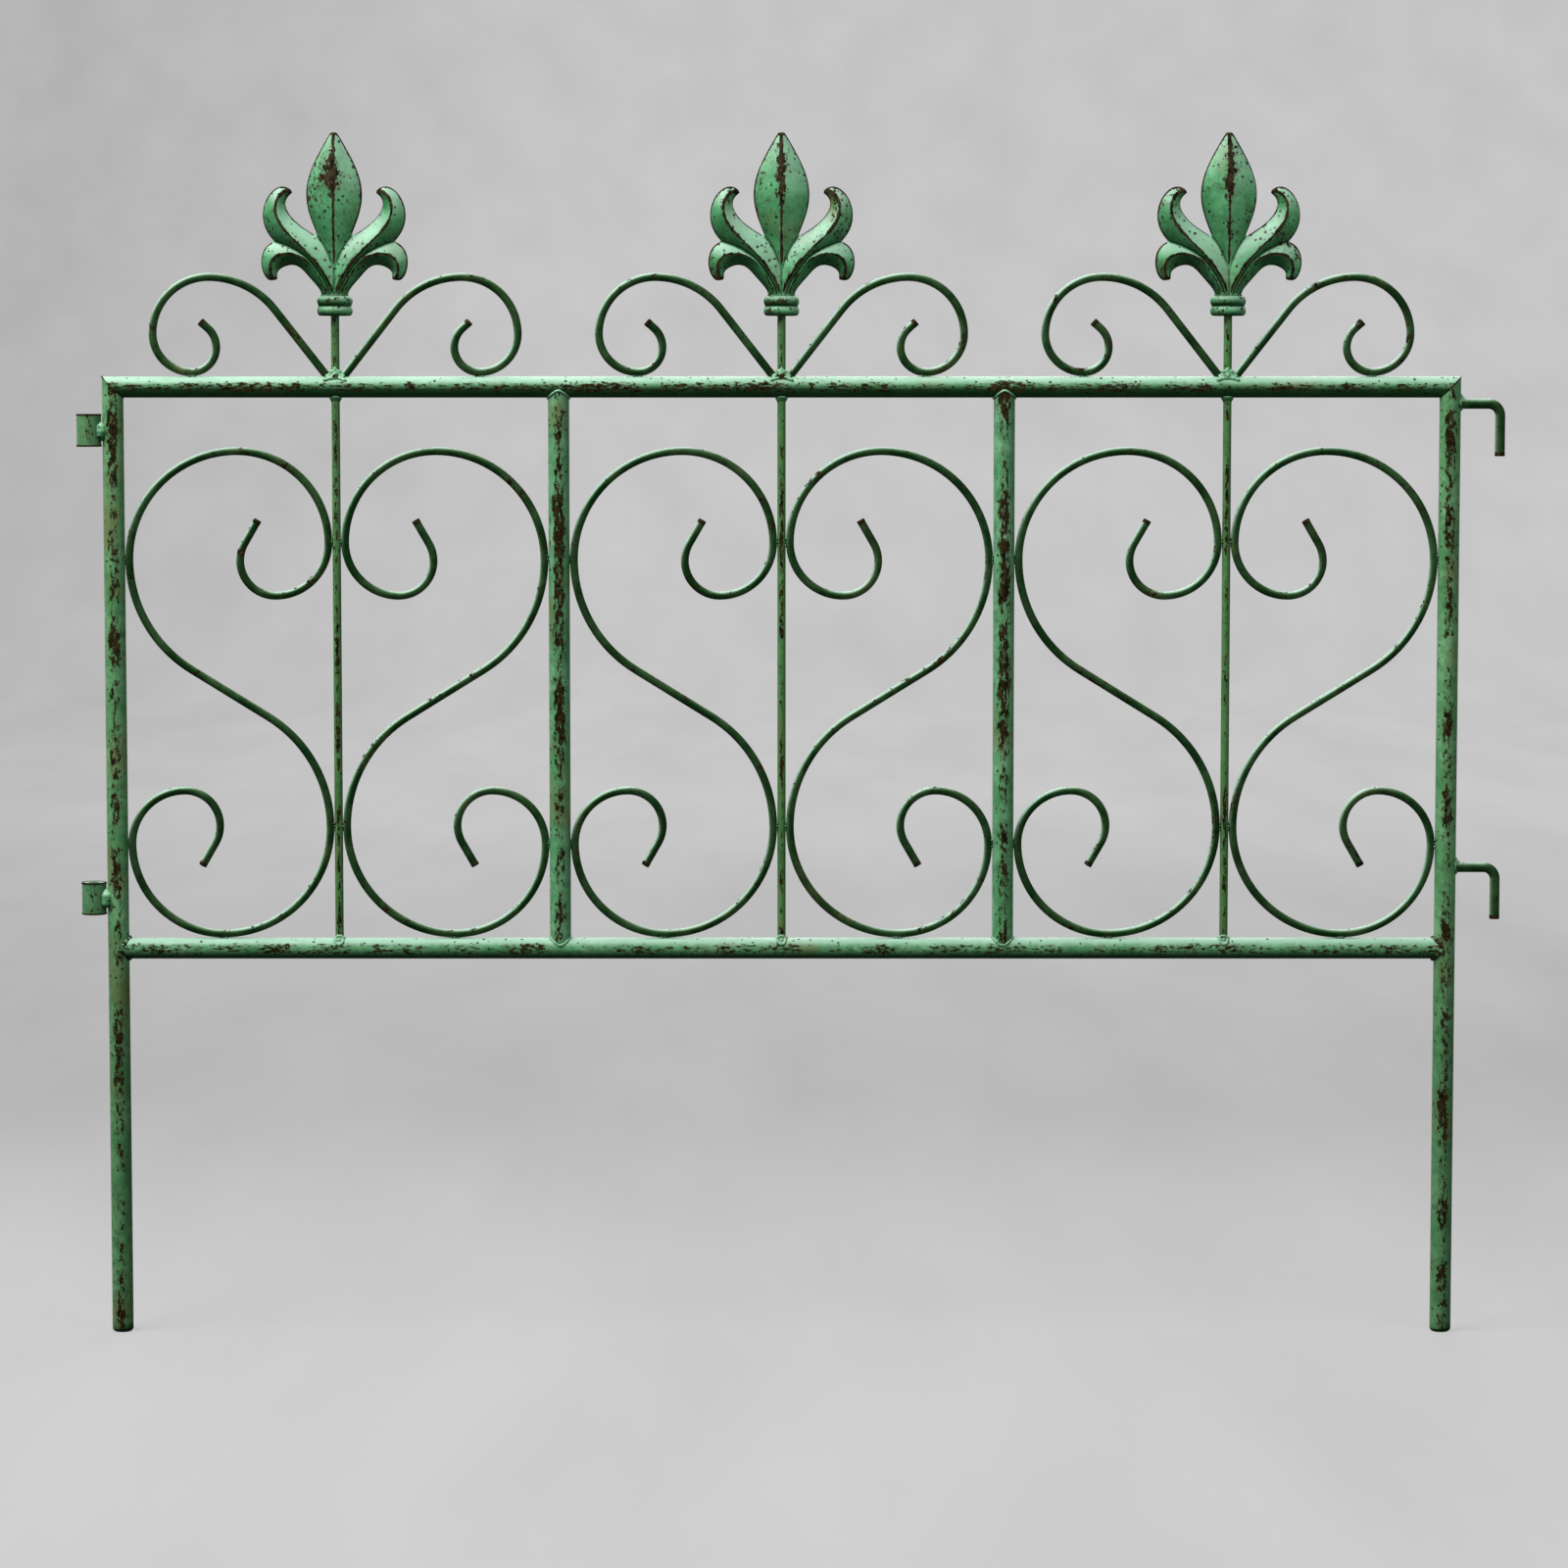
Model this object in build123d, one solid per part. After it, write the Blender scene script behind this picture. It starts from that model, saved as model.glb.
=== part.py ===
from build123d import *
import math
import os

# Garden fence panel in welded round tube, three bays wide, with bent-wire scrolls
# and cast fleur-de-lis finials. Millimetres. The origin is the middle of the left
# post's foot face, X runs along the panel, Y through it and Z up.

# Tube frame
POST_SPACING = 800.0
BAY_COUNT = 3
TUBE_DIAMETER = 12.7
TUBE_WALL = 1.2
BOTTOM_RAIL_HEIGHT = 234.0
TOP_RAIL_HEIGHT = 571.6
FOOT_ROUNDING = 2.5
WELD_GAP = 0.1

# Straight rods, one in the middle of each bay, and the stems that carry the finials
ROD_DIAMETER = 5.0
STEM_HEIGHT = 36.0
STEM_SEAT_DEPTH = 8.0
STEM_SEAT_CLEARANCE = 0.1

# S-scrolls, bent cold from round wire, one each side of every rod
WIRE_DIAMETER = 4.8
SCROLL_TOP_GAP = 29.5
SCROLL_LEAN = 10.3
SCROLL_STRAIGHT = 53.6
SCROLL_EYE_RADIUS = 32.0
SCROLL_CURL_RADIUS = 21.0
SCROLL_CURL_TURN = 30.0
SCROLL_TAIL = 16.0

# Crest scrolls, which lean on each stem and rest on the top rail
CREST_RISE = 61.5
CREST_REACH = 111.5
CREST_SHOULDER_RADIUS = 50.0
CREST_SIDE_RADIUS = 23.0
CREST_CURL_RADIUS = 15.0
CREST_CURL_TURN = 48.0
CREST_TAIL = 6.0

# Hooks on the right post and the sockets on the left post that the next panel's
# hooks drop into
HOOK_DIAMETER = 6.0
HOOK_REACH = 30.0
HOOK_BEND_RADIUS = 7.0
HOOK_DROP = 31.2
HOOK_TIP_ROUNDING = 0.8
UPPER_HOOK_BELOW_TOP_RAIL = 10.0
LOWER_HOOK_ABOVE_BOTTOM_RAIL = 49.1
SOCKET_DIAMETER = 14.6
SOCKET_HEIGHT = 19.0
SOCKET_ROUNDING = 0.8
SOCKET_CLEARANCE = 0.4
SOCKET_STANDOFF = 0.8
SOCKET_LUG_DIAMETER = 9.0
UPPER_SOCKET_DROP = 15.8
LOWER_SOCKET_DROP = 18.7

# Fleur-de-lis casting, measured up from the underside of its collar
COLLAR_RADIUS = 10.7
COLLAR_RING_HEIGHT = 5.8
COLLAR_WAIST_RADIUS = 9.4
LEAF_EDGE = 1.2
FACE_CROWN = 0.05
# The spear petal's height, half width and half depth, from its root to its blunt tip
SPEAR_STATIONS = (
    (9.0, 2.0, 2.0),
    (30.0, 6.0, 4.6),
    (52.0, 11.8, 7.4),
    (74.0, 16.6, 8.5),
    (88.0, 13.1, 7.3),
    (99.0, 7.6, 5.2),
    (108.8, 1.8, 2.0),
)
# Each leaf's inner edge and outer edge, how far across the ridge runs, and its half depth
UPPER_LEAF_STATIONS = (
    ((-3.5, 9.0), (8.0, 9.0), 0.48, 5.6),
    ((-5.0, 26.5), (8.5, 18.5), 0.66, 6.4),
    ((2.0, 41.0), (17.2, 30.0), 0.68, 7.2),
    ((20.0, 53.5), (35.0, 43.5), 0.48, 7.2),
    ((28.6, 64.0), (42.4, 62.5), 0.43, 6.2),
    ((27.9, 70.2), (34.0, 76.0), 0.42, 3.8),
    ((24.8, 73.0), (25.6, 74.8), 0.50, 1.5),
)
LOWER_LEAF_STATIONS = (
    ((0.5, 9.0), (9.3, 9.0), 0.50, 4.2),
    ((3.0, 23.0), (11.9, 19.3), 0.50, 5.2),
    ((12.5, 38.0), (20.1, 28.2), 0.52, 6.0),
    ((26.0, 44.2), (26.2, 30.2), 0.54, 6.4),
    ((39.0, 42.6), (31.8, 28.3), 0.55, 5.8),
    ((43.7, 32.5), (34.2, 25.6), 0.60, 4.6),
    ((38.2, 21.0), (34.3, 21.5), 0.50, 2.2),
)

# Sizes worked out from the ones above
TUBE_RADIUS = TUBE_DIAMETER / 2
ROD_RADIUS = ROD_DIAMETER / 2
WIRE_RADIUS = WIRE_DIAMETER / 2
HOOK_RADIUS = HOOK_DIAMETER / 2
SOCKET_RADIUS = SOCKET_DIAMETER / 2
SOCKET_BORE_RADIUS = HOOK_RADIUS + SOCKET_CLEARANCE
SOCKET_OFFSET = TUBE_RADIUS + SOCKET_STANDOFF + SOCKET_RADIUS
BAY_WIDTH = POST_SPACING / BAY_COUNT
ROD_PLACES = [BAY_WIDTH * (bay + 0.5) for bay in range(BAY_COUNT)]
STILE_PLACES = [BAY_WIDTH * bay for bay in range(1, BAY_COUNT)]
TOP_RAIL_CROWN = TOP_RAIL_HEIGHT + TUBE_RADIUS
TOP_RAIL_UNDERSIDE = TOP_RAIL_HEIGHT - TUBE_RADIUS
BOTTOM_RAIL_CROWN = BOTTOM_RAIL_HEIGHT + TUBE_RADIUS
COLLAR_BASE = TOP_RAIL_CROWN + STEM_HEIGHT
UPPER_HOOK_HEIGHT = TOP_RAIL_HEIGHT - UPPER_HOOK_BELOW_TOP_RAIL
LOWER_HOOK_HEIGHT = BOTTOM_RAIL_HEIGHT + LOWER_HOOK_ABOVE_BOTTOM_RAIL
UPPER_SOCKET_HEIGHT = UPPER_HOOK_HEIGHT - UPPER_SOCKET_DROP
LOWER_SOCKET_HEIGHT = LOWER_HOOK_HEIGHT - LOWER_SOCKET_DROP


def upright_bar(radius, x, low, high):
    """A solid round bar standing at x, from one height to another."""
    return Pos(x, 0, low) * extrude(Circle(radius), amount=high - low)


def level_bar(radius, z, start, end):
    """A solid round bar lying along X at height z."""
    section = Plane.YZ * Circle(radius)
    return Pos(start, 0, z) * extrude(section, amount=end - start)


def rail_seat(z):
    """What a piece welded onto a rail is coped by: the rail and the weld gap round it."""
    return level_bar(TUBE_RADIUS + WELD_GAP, z, -TUBE_DIAMETER, POST_SPACING + TUBE_DIAMETER)


def post_seat(x):
    """What a piece welded onto a post is coped by: the post and the weld gap round it."""
    return upright_bar(TUBE_RADIUS + WELD_GAP, x, 0, TOP_RAIL_CROWN)


def mitre_plane(x, side):
    """The slanting plane at a top corner, with its normal towards the rail."""
    return Plane(origin=(x, 0, TOP_RAIL_HEIGHT), x_dir=(0, 1, 0), z_dir=(side, 0, 1))


def post(x, side):
    """A post with a closed, rounded foot, mitred at the top towards the rail."""
    high = TOP_RAIL_CROWN
    inner = TUBE_RADIUS - TUBE_WALL
    inner_round = max(FOOT_ROUNDING - TUBE_WALL, TUBE_WALL / 2)
    outline = Polyline(
        (0, 0), (TUBE_RADIUS, 0), (TUBE_RADIUS, high), (inner, high), (inner, TUBE_WALL), (0, TUBE_WALL), (0, 0)
    )
    section = make_face(outline)
    toe = section.vertices().sort_by_distance((TUBE_RADIUS, 0, 0))[0]
    section = fillet(toe, FOOT_ROUNDING)
    heel = section.vertices().sort_by_distance((inner, TUBE_WALL, 0))[0]
    section = fillet(heel, inner_round)
    tube = revolve(Plane.XZ * section, Axis.Z)
    return split(Pos(x, 0, 0) * tube, bisect_by=mitre_plane(x, side), keep=Keep.BOTTOM)


def top_rail():
    """The top rail, mitred at both ends to meet the posts."""
    start = -TUBE_DIAMETER
    end = POST_SPACING + TUBE_DIAMETER
    tube = level_bar(TUBE_RADIUS, TOP_RAIL_HEIGHT, start, end)
    tube -= level_bar(TUBE_RADIUS - TUBE_WALL, TOP_RAIL_HEIGHT, start, end)
    tube = split(tube, bisect_by=mitre_plane(0, 1), keep=Keep.TOP)
    return split(tube, bisect_by=mitre_plane(POST_SPACING, -1), keep=Keep.TOP)


def bottom_rail():
    """The bottom rail, coped at both ends onto the posts."""
    tube = level_bar(TUBE_RADIUS, BOTTOM_RAIL_HEIGHT, 0, POST_SPACING)
    tube -= level_bar(TUBE_RADIUS - TUBE_WALL, BOTTOM_RAIL_HEIGHT, 0, POST_SPACING)
    return tube - post_seat(0) - post_seat(POST_SPACING)


def stile(x):
    """An inner upright, coped at both ends onto the rails."""
    tube = upright_bar(TUBE_RADIUS, x, BOTTOM_RAIL_HEIGHT, TOP_RAIL_HEIGHT)
    tube -= upright_bar(TUBE_RADIUS - TUBE_WALL, x, BOTTOM_RAIL_HEIGHT, TOP_RAIL_HEIGHT)
    return tube - rail_seat(BOTTOM_RAIL_HEIGHT) - rail_seat(TOP_RAIL_HEIGHT)


def centre_rod(x):
    """The straight rod down the middle of a bay, coped onto both rails."""
    rod = upright_bar(ROD_RADIUS, x, BOTTOM_RAIL_HEIGHT, TOP_RAIL_HEIGHT)
    return rod - rail_seat(BOTTOM_RAIL_HEIGHT) - rail_seat(TOP_RAIL_HEIGHT)


def finial_stem(x):
    """The short rod on the top rail, whose upper end is plugged into the finial."""
    stem = upright_bar(ROD_RADIUS, x, TOP_RAIL_HEIGHT, COLLAR_BASE + STEM_SEAT_DEPTH)
    return stem - rail_seat(TOP_RAIL_HEIGHT)


def bent_wire(path, radius):
    """A round wire along a path of straight runs and tangent arcs in the panel's plane."""
    route = Plane.XZ * Wire(path)
    section = Plane(origin=route @ 0, z_dir=route % 0) * Circle(radius)
    return sweep(section, path=route)


def scroll_half(middle, low, high, top):
    """The upper half of an S-scroll, from its middle to the tip of its curl.

    low and high are the nearest and furthest that the wire's centreline comes to the rod,
    and top is its highest point. Every arc turns left and meets the next one on the level
    or upright, so each radius is the distance between two sides that the wire touches."""
    width = high - low
    outer = (width + SCROLL_LEAN) / 2
    inner = (width - SCROLL_LEAN) / 2
    straight = SCROLL_STRAIGHT / 2
    reach = high - middle[0]
    rise = top - outer - middle[1]
    shoulder = (reach**2 + rise**2 - straight**2) / (2 * reach)
    to_centre = math.degrees(math.atan2(rise, reach - shoulder))
    slope = to_centre - math.degrees(math.atan2(shoulder, straight))
    side = top - outer
    rod_side = top - inner
    eye = rod_side - SCROLL_EYE_RADIUS
    eye_place = low + SCROLL_EYE_RADIUS
    run = PolarLine(middle, straight, angle=slope)
    arcs = [
        CenterArc((high - shoulder, side), shoulder, slope - 90, 90 - slope),
        CenterArc((high - outer, side), outer, 0, 90),
        CenterArc((low + inner, rod_side), inner, 90, 90),
        CenterArc((eye_place, rod_side), SCROLL_EYE_RADIUS, 180, 90),
        CenterArc((eye_place, eye + SCROLL_CURL_RADIUS), SCROLL_CURL_RADIUS, 270, 90 + SCROLL_CURL_TURN),
    ]
    tail = PolarLine(arcs[-1] @ 1, SCROLL_TAIL, angle=90 + SCROLL_CURL_TURN)
    return [run, *arcs, tail]


def s_scroll():
    """One S-scroll to the right of a rod at x = 0, the same when turned half round."""
    low = ROD_RADIUS + WIRE_RADIUS + WELD_GAP
    high = BAY_WIDTH / 2 - TUBE_RADIUS - WIRE_RADIUS - WELD_GAP
    bottom = BOTTOM_RAIL_CROWN + WIRE_RADIUS + WELD_GAP
    top = TOP_RAIL_UNDERSIDE - SCROLL_TOP_GAP - WIRE_RADIUS
    middle = ((low + high) / 2, (bottom + top) / 2)
    upper = scroll_half(middle, low, high, top)
    turned = Pos(*middle) * Rot(0, 0, 180) * Pos(-middle[0], -middle[1])
    lower = [turned * edge for edge in upper]
    return bent_wire([*upper, *lower], WIRE_RADIUS)


def crest_scroll():
    """One crest scroll to the right of a stem at x = 0, from its foot to its curl."""
    top = TOP_RAIL_CROWN + CREST_RISE - WIRE_RADIUS
    bottom = TOP_RAIL_CROWN + WIRE_RADIUS + WELD_GAP
    outside = CREST_REACH - WIRE_RADIUS
    upper = top - bottom - CREST_SIDE_RADIUS
    crown = (outside - upper, top - CREST_SHOULDER_RADIUS)
    rise = crown[1] - TOP_RAIL_HEIGHT
    straight = math.sqrt(crown[0] ** 2 + rise**2 - CREST_SHOULDER_RADIUS**2)
    to_centre = math.degrees(math.atan2(rise, crown[0]))
    slope = to_centre + math.degrees(math.atan2(CREST_SHOULDER_RADIUS, straight))
    side = bottom + CREST_SIDE_RADIUS
    rest = outside - CREST_SIDE_RADIUS
    curl = (rest, bottom + CREST_CURL_RADIUS)
    run = PolarLine((0, TOP_RAIL_HEIGHT), straight, angle=slope)
    arcs = [
        CenterArc(crown, CREST_SHOULDER_RADIUS, slope + 90, -slope),
        CenterArc((outside - upper, side), upper, 90, -90),
        CenterArc((rest, side), CREST_SIDE_RADIUS, 0, -90),
        CenterArc(curl, CREST_CURL_RADIUS, 270, -90 - CREST_CURL_TURN),
    ]
    tail = PolarLine(arcs[-1] @ 1, CREST_TAIL, angle=90 - CREST_CURL_TURN)
    wire = bent_wire([run, *arcs, tail], WIRE_RADIUS)
    stem_seat = upright_bar(ROD_RADIUS + WELD_GAP, 0, TOP_RAIL_HEIGHT, COLLAR_BASE)
    return wire - rail_seat(TOP_RAIL_HEIGHT) - stem_seat


def hook(z):
    """A bent rod hook: a level arm out of the right post and a leg that points down."""
    leg = POST_SPACING + HOOK_REACH
    path = [
        Line((POST_SPACING, z), (leg - HOOK_BEND_RADIUS, z)),
        CenterArc((leg - HOOK_BEND_RADIUS, z - HOOK_BEND_RADIUS), HOOK_BEND_RADIUS, 90, -90),
        Line((leg, z - HOOK_BEND_RADIUS), (leg, z - HOOK_DROP)),
    ]
    rod = bent_wire(path, HOOK_RADIUS)
    tip = rod.faces().sort_by(Axis.Z)[0].edges()
    return fillet(tip, HOOK_TIP_ROUNDING) - post_seat(POST_SPACING)


def socket(z):
    """A short sleeve for a hook's leg, carried on the left post by a round lug."""
    sleeve = Cylinder(SOCKET_RADIUS, SOCKET_HEIGHT)
    rims = sleeve.edges().filter_by(GeomType.CIRCLE)
    sleeve = Pos(-SOCKET_OFFSET, 0, z) * fillet(rims, SOCKET_ROUNDING)
    lug = level_bar(SOCKET_LUG_DIAMETER / 2, z, -SOCKET_OFFSET, 0)
    bore = upright_bar(SOCKET_BORE_RADIUS, -SOCKET_OFFSET, z - SOCKET_HEIGHT, z + SOCKET_HEIGHT)
    return sleeve + lug - bore - post_seat(0)


def leaf_section(inner, outer, ridge_share, depth):
    """A leaf's section: a ridge on each side between two crowned faces, and narrow edges."""
    across = Vector(outer[0] - inner[0], 0, outer[1] - inner[1])
    width = across.length
    ridge = width * ridge_share
    edge = min(LEAF_EDGE, depth / 2)
    inner_face = SagittaArc((0, edge), (ridge, depth), FACE_CROWN * ridge)
    outer_face = SagittaArc((ridge, depth), (width, edge), FACE_CROWN * (width - ridge))
    inner_back = SagittaArc((0, -edge), (ridge, -depth), -FACE_CROWN * ridge)
    outer_back = SagittaArc((ridge, -depth), (width, -edge), -FACE_CROWN * (width - ridge))
    edges = [Line((0, -edge), (0, edge)), Line((width, edge), (width, -edge))]
    place = Plane(origin=(inner[0], 0, inner[1]), x_dir=across, z_dir=across.cross(Vector(0, 1, 0)))
    return place * make_face([inner_face, outer_face, outer_back, inner_back, *edges])


def leaf(stations):
    """A curling leaf lofted along its stations, root to tip."""
    return loft([leaf_section(*station) for station in stations])


def spear():
    """The upright middle petal, ridged down the middle of both faces."""
    sections = []
    for height, half_width, depth in SPEAR_STATIONS:
        sections.append(leaf_section((-half_width, height), (half_width, height), 0.5, depth))
    return loft(sections)


def collar():
    """Two rolled rings, one on the other, that clasp the leaves."""
    half = COLLAR_RING_HEIGHT / 2
    bulge = COLLAR_RADIUS - COLLAR_WAIST_RADIUS
    lower = ThreePointArc((COLLAR_WAIST_RADIUS, 0), (COLLAR_WAIST_RADIUS + bulge, half), (COLLAR_WAIST_RADIUS, 2 * half))
    upper = Pos(0, COLLAR_RING_HEIGHT) * lower
    sides = Polyline(upper @ 1, (0, 2 * COLLAR_RING_HEIGHT), (0, 0), lower @ 0)
    return revolve(Plane.XZ * make_face([lower, upper, sides]), Axis.Z)


def fleur():
    """The casting: a spear and two pairs of leaves in a collar bored for its stem."""
    upper = leaf(UPPER_LEAF_STATIONS)
    lower = leaf(LOWER_LEAF_STATIONS)
    casting = collar() + spear()
    for petal in (upper, lower):
        casting = casting + petal + mirror(petal, about=Plane.YZ)
    seat = upright_bar(ROD_RADIUS + STEM_SEAT_CLEARANCE, 0, 0, STEM_SEAT_DEPTH + WELD_GAP)
    return casting - seat


def fence_panel():
    """Every piece of the panel by name."""
    pieces = {
        "left_post": post(0, 1),
        "right_post": post(POST_SPACING, -1),
        "top_rail": top_rail(),
        "bottom_rail": bottom_rail(),
        "upper_hook": hook(UPPER_HOOK_HEIGHT),
        "lower_hook": hook(LOWER_HOOK_HEIGHT),
        "upper_socket": socket(UPPER_SOCKET_HEIGHT),
        "lower_socket": socket(LOWER_SOCKET_HEIGHT),
    }
    for number, x in enumerate(STILE_PLACES, start=1):
        pieces[f"stile_{number}"] = stile(x)
    scroll = s_scroll()
    crest = crest_scroll()
    ornament = fleur()
    for number, x in enumerate(ROD_PLACES, start=1):
        place = Pos(x, 0, 0)
        pieces[f"centre_rod_{number}"] = centre_rod(x)
        pieces[f"finial_stem_{number}"] = finial_stem(x)
        pieces[f"finial_{number}"] = Pos(x, 0, COLLAR_BASE) * ornament
        pieces[f"scroll_{number}_right"] = place * scroll
        pieces[f"scroll_{number}_left"] = place * mirror(scroll, about=Plane.YZ)
        pieces[f"crest_{number}_right"] = place * crest
        pieces[f"crest_{number}_left"] = place * mirror(crest, about=Plane.YZ)
    return pieces


os.makedirs("parts", exist_ok=True)
for name, solid in fence_panel().items():
    export_step(solid, f"parts/{name}.step")
    print(f"{name}: {solid.volume:.0f} mm3")
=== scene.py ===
# %% [markdown]
# # A garden fence panel in aged green paint
# The real panel is welded from half-inch steel tube, thin rod and bent wire, with three
# cast fleur-de-lis finials, and it was painted by brush years ago. The frame brings in
# every tube, rod, wire and casting at its true size, so this lesson adds what a workshop
# and the weather add: weld beads, softened castings, and paint that has chipped.

# %% Load the frame
import math
import random

import bmesh
import bpy
import numpy as np
from mathutils import Matrix, Vector


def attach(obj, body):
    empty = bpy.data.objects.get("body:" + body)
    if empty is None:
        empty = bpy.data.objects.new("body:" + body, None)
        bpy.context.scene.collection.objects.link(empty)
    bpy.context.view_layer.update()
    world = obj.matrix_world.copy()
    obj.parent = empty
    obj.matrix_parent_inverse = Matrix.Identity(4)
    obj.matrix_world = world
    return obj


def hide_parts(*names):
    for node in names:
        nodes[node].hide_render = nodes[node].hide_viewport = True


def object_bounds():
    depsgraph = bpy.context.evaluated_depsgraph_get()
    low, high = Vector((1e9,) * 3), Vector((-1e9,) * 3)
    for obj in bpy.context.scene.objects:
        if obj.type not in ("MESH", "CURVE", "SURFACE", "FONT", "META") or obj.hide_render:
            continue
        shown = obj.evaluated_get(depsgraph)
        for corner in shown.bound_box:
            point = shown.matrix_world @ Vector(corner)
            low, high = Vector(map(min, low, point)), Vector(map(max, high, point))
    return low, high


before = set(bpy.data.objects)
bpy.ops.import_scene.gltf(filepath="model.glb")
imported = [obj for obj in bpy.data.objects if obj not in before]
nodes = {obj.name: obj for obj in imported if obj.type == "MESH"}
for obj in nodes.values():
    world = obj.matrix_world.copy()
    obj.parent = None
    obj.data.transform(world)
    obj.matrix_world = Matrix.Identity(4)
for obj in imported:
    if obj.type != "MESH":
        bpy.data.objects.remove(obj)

MM = 0.001
cad_low, cad_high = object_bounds()
print("CAD pieces:", len(nodes), "box in mm:", [round(v / MM, 1) for v in cad_high - cad_low])

# %% [markdown]
# The camera stands about 2.9 m in front of the panel and looks down a little, so the posts
# lean together towards the ground. A long lens gives that mild perspective. Placing the
# camera by measured numbers, and not by eye, lets the render lie over the photograph.

# %% Camera
CAMERA_PLACE = Vector((401.5, -2939.7, 578.0)) * MM
CAMERA_LENS = 112.5
CAMERA_PITCH = 4.756

camera = bpy.data.objects.new("camera", bpy.data.cameras.new("camera"))
camera.data.lens = CAMERA_LENS
camera.location = CAMERA_PLACE
camera.rotation_euler = (math.radians(90 - CAMERA_PITCH), 0, 0)
bpy.context.collection.objects.link(camera)
bpy.context.scene.camera = camera
print("Camera at", [round(v, 3) for v in camera.location])

# %% [markdown]
# Two small helpers serve every material. Colours are written as sRGB hex values, as a
# paint chart gives them, and Blender's shaders want linear light. The other helper adds
# one node, sets it and links it, which keeps a long node tree readable.


# %% Helpers for materials
def colour(code):
    """An sRGB hex colour as linear red, green, blue and alpha."""
    parts = [int(code[i : i + 2], 16) / 255 for i in (1, 3, 5)]
    return [p / 12.92 if p <= 0.04045 else ((p + 0.055) / 1.055) ** 2.4 for p in parts] + [1.0]


def add(tree, kind, inputs=None, **settings):
    """Adds a node with its settings. An input is a value, a socket, or a node's first output."""
    node = tree.nodes.new(kind)
    for key, value in settings.items():
        setattr(node, key, value)
    for key, value in (inputs or {}).items():
        if isinstance(value, bpy.types.Node):
            value = next(output for output in value.outputs if output.enabled)
        if isinstance(value, bpy.types.NodeSocket):
            tree.links.new(value, node.inputs[key])
        else:
            node.inputs[key].default_value = value
    return node


print("Helpers ready; mint green is", [round(v, 3) for v in colour("#5FA578")])

# %% [markdown]
# The studio is a pale sheet that runs along the floor and curves up behind the panel, so
# no corner shows. It is one profile of a floor line, a quarter turn made by spin and a
# wall, pushed sideways by extrude. The camera and reflections see it pale, with the
# panel's soft shadow on it, and its tone drifts a little, in soft clouds and in broad
# bands along each axis, as light falls off across a real sheet. Light that bounces off it
# sees it darker, which keeps the undersides of the rails dark, as in the photograph.

# %% Floor and backdrop
FLOOR_FRONT = -9000 * MM
FLOOR_BACK = 5500 * MM
COVE_RADIUS = 2500 * MM
WALL_TOP = 7000 * MM
STUDIO_HALF_WIDTH = 9000 * MM
CLOUD_SIZES = (150 * MM, 700 * MM, 150 * MM)
CLOUD_SHARE = 0.50
GLOW_SHARE = 0.80
# Each band of painted light falloff on the backdrop: its axis, where it starts and ends, and the tone
# before and beyond it
BACKDROP_FALLOFF_BANDS = (
    ("Y", 0.0, 1000 * MM, 0.14, -0.28),
    ("Y", 900 * MM, 3800 * MM, 0.0, 0.76),
    ("X", -1300 * MM, 100 * MM, -0.30, 0.13),
    ("Z", 300 * MM, 1300 * MM, 0.0, -0.05),
)

bm = bmesh.new()
start = bmesh.ops.create_vert(bm, co=(-STUDIO_HALF_WIDTH, FLOOR_FRONT, 0))["vert"]
floor_end = bmesh.ops.extrude_vert_indiv(bm, verts=start)["verts"][0]
floor_end.co.y = FLOOR_BACK
cove = bmesh.ops.spin(
    bm, geom=[floor_end], cent=floor_end.co + Vector((0, 0, COVE_RADIUS)), axis=(1, 0, 0),
    angle=math.radians(90), steps=16, use_duplicate=False,
)
cove_end = [g for g in cove["geom_last"] if isinstance(g, bmesh.types.BMVert)]
wall = bmesh.ops.extrude_vert_indiv(bm, verts=cove_end)["verts"][0]
wall.co.z = WALL_TOP
sweep = bmesh.ops.extrude_edge_only(bm, edges=bm.edges[:])
swept = [g for g in sweep["geom"] if isinstance(g, bmesh.types.BMVert)]
bmesh.ops.translate(bm, verts=swept, vec=(2 * STUDIO_HALF_WIDTH, 0, 0))
bmesh.ops.recalc_face_normals(bm, faces=bm.faces[:])
studio_mesh = bpy.data.meshes.new("studio_sheet")
bm.to_mesh(studio_mesh)
bm.free()
studio_mesh.shade_smooth()
studio = bpy.data.objects.new("studio_sheet", studio_mesh)
bpy.context.collection.objects.link(studio)

sheet = bpy.data.materials.new("matt_paper_backdrop")
sheet.use_nodes = True
tree = sheet.node_tree
tree.nodes.clear()
ray = add(tree, "ShaderNodeLightPath").outputs
seen = add(tree, "ShaderNodeMath", {0: ray["Is Camera Ray"], 1: ray["Is Glossy Ray"]}, operation="ADD")
seen = add(tree, "ShaderNodeMath", {0: seen, 1: ray["Is Transmission Ray"]}, operation="ADD")
place = add(tree, "ShaderNodeTexCoord").outputs["Object"]
clouds = add(tree, "ShaderNodeMapping", {"Vector": place, "Scale": [1 / size for size in CLOUD_SIZES]})
clouds = add(tree, "ShaderNodeTexNoise", {"Vector": clouds, "Scale": 1.0, "Detail": 4.0})
tone = add(tree, "ShaderNodeMath", {0: clouds, 1: CLOUD_SHARE}, operation="MULTIPLY")
where = add(tree, "ShaderNodeSeparateXYZ", {0: place}).outputs
# The broad bands paint light falloff onto the backdrop's glow
for axis, start, end, before, beyond in BACKDROP_FALLOFF_BANDS:
    band = {0: where[axis], 1: start, 2: end, 3: before, 4: beyond}
    band = add(tree, "ShaderNodeMapRange", band, interpolation_type="SMOOTHSTEP")
    tone = add(tree, "ShaderNodeMath", {0: tone, 1: band}, operation="ADD")
tones = {"Factor": tone, "A": colour("#B4B3B3"), "B": colour("#DFDEDE")}
glow = add(tree, "ShaderNodeMix", tones, data_type="RGBA")
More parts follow.
